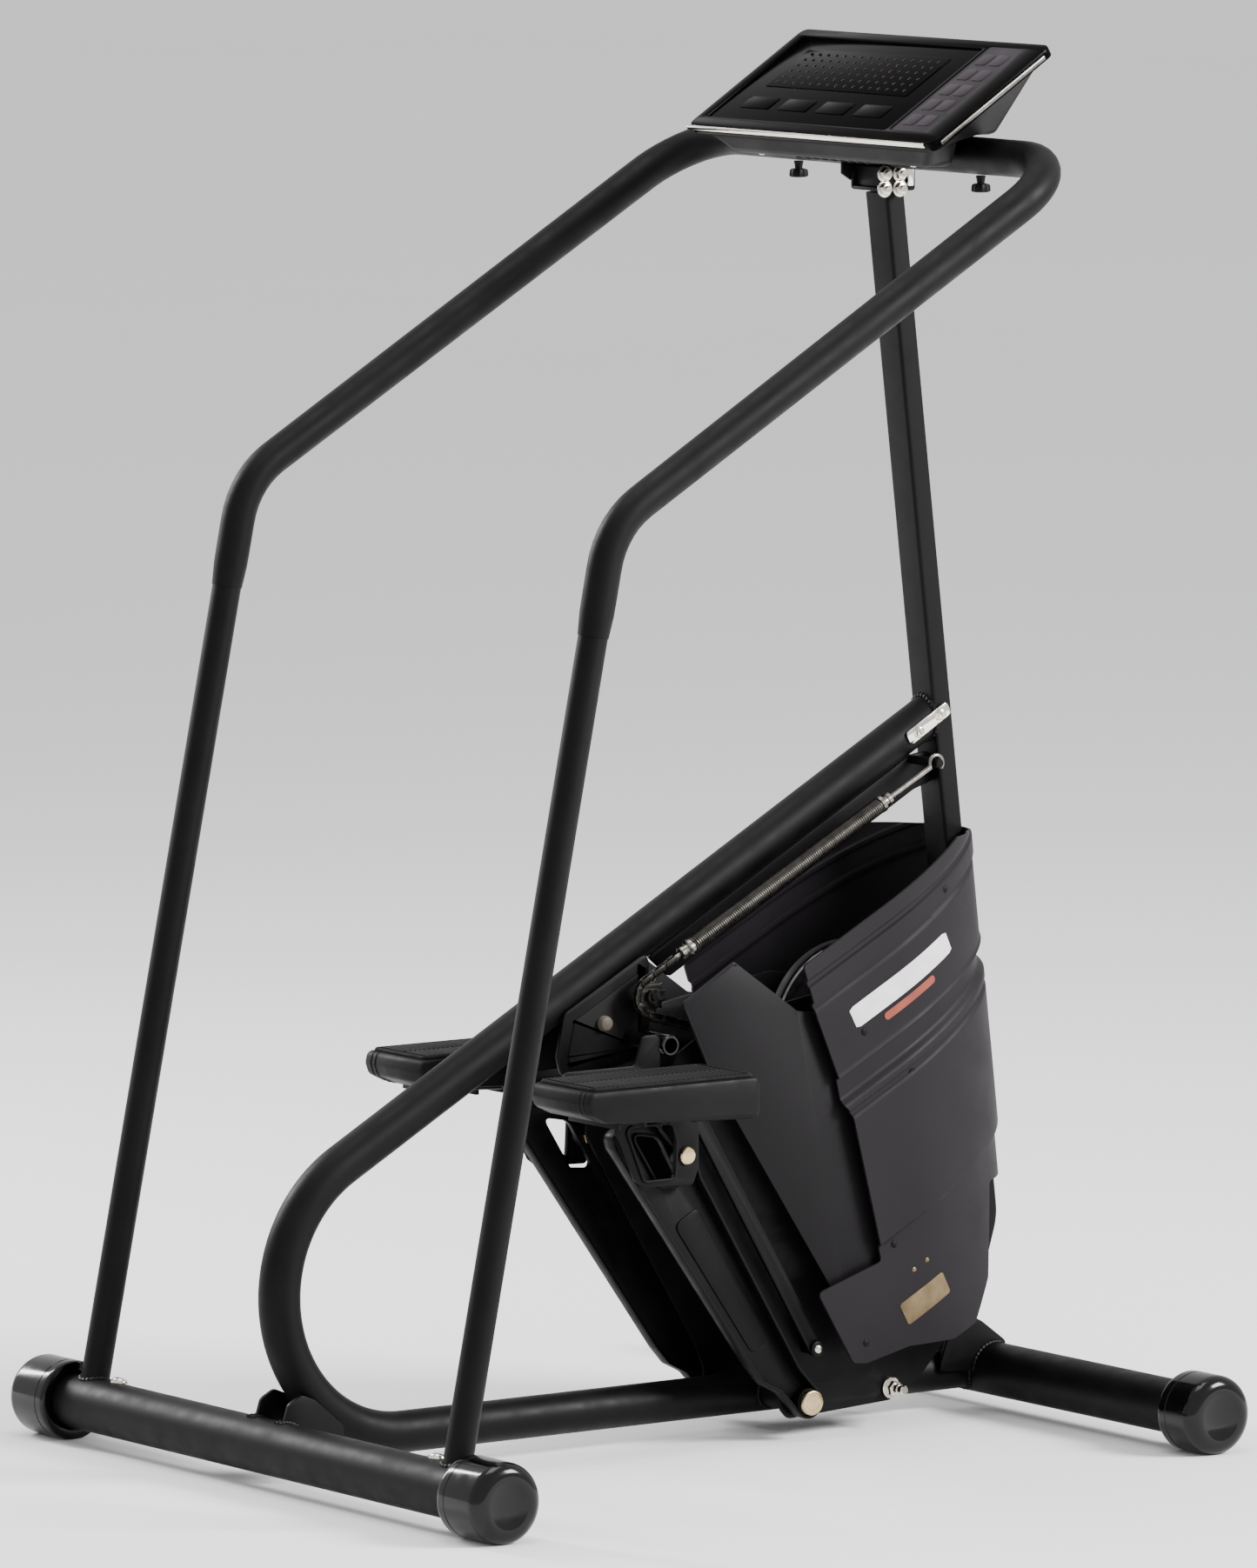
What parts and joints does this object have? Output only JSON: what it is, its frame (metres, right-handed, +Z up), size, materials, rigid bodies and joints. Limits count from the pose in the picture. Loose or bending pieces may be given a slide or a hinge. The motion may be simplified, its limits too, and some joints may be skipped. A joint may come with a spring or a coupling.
{
  "type": "stair climber machine",
  "caption": "Free-standing stair climber with independent level pedals on parallelogram arms, loop frame, mast, wrap-around handrail and tilted console.",
  "frame": {"origin": "floor level under the middle of the machine's box, halfway between the two crossbars", "axes": "+X to the user's right, +Y the way the user faces, from the rear crossbar to the mast, +Z up"},
  "size_m": [0.91, 1.0476, 1.5363],
  "materials": {
    "frame_paint": "smooth black enamel, semi-gloss",
    "cap_rubber": "glossy moulded rubber",
    "grip_vinyl": "dipped soft vinyl, faintly textured",
    "cover_shell": "moulded charcoal plastic, fine grain",
    "pedal_shell": "moulded black plastic",
    "tread_rubber": "ribbed black rubber",
    "console_gloss": "polished black plastic",
    "display_window": "smoked polished window",
    "keypad_film": "grey printed film",
    "circuit_board": "green solder mask",
    "zinc": "bright zinc plate",
    "spring_steel": "oiled spring wire",
    "drive_steel": "machined steel",
    "cast_alloy": "cast and turned alloy"
  },
  "bodies": {
    "frame": {"rear_crossbar": "frame_paint", "front_crossbar": "frame_paint", "loop_tube": "frame_paint", "mast": "frame_paint", "handrail": "frame_paint", "rear_gusset_left": "frame_paint", "rear_gusset_right": "frame_paint", "front_gusset_left": "frame_paint", "front_gusset_right": "frame_paint", "pivot_sleeve": "frame_paint", "side_plate_left": "frame_paint", "side_plate_right": "frame_paint", "stop_bracket": "frame_paint", "spring_anchor": "frame_paint", "rail_clamp": "frame_paint", "end_cap_rear_left": "cap_rubber", "end_cap_rear_right": "cap_rubber", "end_cap_front_left": "cap_rubber", "end_cap_front_right": "cap_rubber", "handrail_grip": "grip_vinyl", "side_cover_left": "cover_shell", "side_cover_right": "cover_shell", "inner_guard_left": "cover_shell", "inner_guard_right": "cover_shell", "console_housing": "cover_shell", "console_knob_left": "cover_shell", "console_knob_right": "cover_shell", "drive_belt": "tread_rubber", "console_bezel": "console_gloss", "console_display": "display_window", "console_keypad": "keypad_film", "console_board": "circuit_board", "pivot_cap_left": "zinc", "pivot_cap_right": "zinc", "cross_bolt": "zinc", "return_spring_left": "spring_steel", "return_spring_right": "spring_steel", "pivot_shaft": "drive_steel", "drive_chain_left": "drive_steel", "drive_chain_right": "drive_steel", "alternator": "cast_alloy"},
    "arm_left": {"pedal_arm_left": "frame_paint", "pedal_bolt_left": "zinc"},
    "link_left": {"levelling_link_left": "frame_paint"},
    "pedal_left": {"pedal_carrier_left": "frame_paint", "pedal_platform_left": "pedal_shell", "pedal_tread_left": "tread_rubber"},
    "clutch_left": {"clutch_sprocket_left": "drive_steel"},
    "idler_left": {"chain_idler_left": "drive_steel"},
    "arm_right": {"pedal_arm_right": "frame_paint", "pedal_bolt_right": "zinc"},
    "link_right": {"levelling_link_right": "frame_paint"},
    "pedal_right": {"pedal_carrier_right": "frame_paint", "pedal_platform_right": "pedal_shell", "pedal_tread_right": "tread_rubber"},
    "clutch_right": {"clutch_sprocket_right": "drive_steel"},
    "idler_right": {"chain_idler_right": "drive_steel"},
    "drive_shaft": {"drive_shaft": "drive_steel", "drive_pulley": "cast_alloy"},
    "alternator_rotor": {"alternator_pulley": "cast_alloy"}
  },
  "joints": [
    {"name": "pedal_swing_left", "type": "hinge", "parent": "frame", "child": "arm_left", "pos_m": [0, 0.172, 0.043], "axis": [1, 0, 0], "range_deg": [0, 45], "stiffness_Nm_per_rad": 18, "springref_deg": -57.3},
    {"name": "link_swing_left", "type": "hinge", "parent": "frame", "child": "link_left", "pos_m": [0, 0.184, 0.101], "axis": [1, 0, 0], "range_deg": [0, 45]},
    {"name": "pedal_level_left", "type": "hinge", "parent": "arm_left", "child": "pedal_left", "pos_m": [0, 0.00106, 0.33204], "axis": [1, 0, 0], "range_deg": [-45, 0]},
    {"name": "clutch_turn_left", "type": "hinge", "parent": "frame", "child": "clutch_left", "pos_m": [0, 0.27, 0.44], "axis": [1, 0, 0], "range_deg": [0, 430]},
    {"name": "idler_turn_left", "type": "hinge", "parent": "frame", "child": "idler_left", "pos_m": [0, -0.00831, 0.50239], "axis": [1, 0, 0], "range_deg": [0, 785]},
    {"name": "pedal_swing_right", "type": "hinge", "parent": "frame", "child": "arm_right", "pos_m": [0, 0.172, 0.043], "axis": [1, 0, 0], "range_deg": [0, 45], "stiffness_Nm_per_rad": 18, "springref_deg": -57.3},
    {"name": "link_swing_right", "type": "hinge", "parent": "frame", "child": "link_right", "pos_m": [0, 0.184, 0.101], "axis": [1, 0, 0], "range_deg": [0, 45]},
    {"name": "pedal_level_right", "type": "hinge", "parent": "arm_right", "child": "pedal_right", "pos_m": [0, 0.00106, 0.33204], "axis": [1, 0, 0], "range_deg": [-45, 0]},
    {"name": "clutch_turn_right", "type": "hinge", "parent": "frame", "child": "clutch_right", "pos_m": [0, 0.27, 0.44], "axis": [1, 0, 0], "range_deg": [0, 430]},
    {"name": "idler_turn_right", "type": "hinge", "parent": "frame", "child": "idler_right", "pos_m": [0, -0.00831, 0.50239], "axis": [1, 0, 0], "range_deg": [0, 785]},
    {"name": "drive_shaft_turn", "type": "hinge", "parent": "frame", "child": "drive_shaft", "pos_m": [0, 0.27, 0.44], "axis": [1, 0, 0], "continuous": true},
    {"name": "alternator_turn", "type": "hinge", "parent": "frame", "child": "alternator_rotor", "pos_m": [0, 0.33, 0.2], "axis": [1, 0, 0], "continuous": true}
  ],
  "couplings": [
    {"joint": "link_swing_left", "follows": "pedal_swing_left", "ratio": 1},
    {"joint": "pedal_level_left", "follows": "pedal_swing_left", "ratio": -1},
    {"joint": "clutch_turn_left", "follows": "pedal_swing_left", "ratio": 9.5},
    {"joint": "idler_turn_left", "follows": "pedal_swing_left", "ratio": 17.4},
    {"joint": "link_swing_right", "follows": "pedal_swing_right", "ratio": 1},
    {"joint": "pedal_level_right", "follows": "pedal_swing_right", "ratio": -1},
    {"joint": "clutch_turn_right", "follows": "pedal_swing_right", "ratio": 9.5},
    {"joint": "idler_turn_right", "follows": "pedal_swing_right", "ratio": 17.4},
    {"joint": "alternator_turn", "follows": "drive_shaft_turn", "ratio": 4.5455}
  ]
}
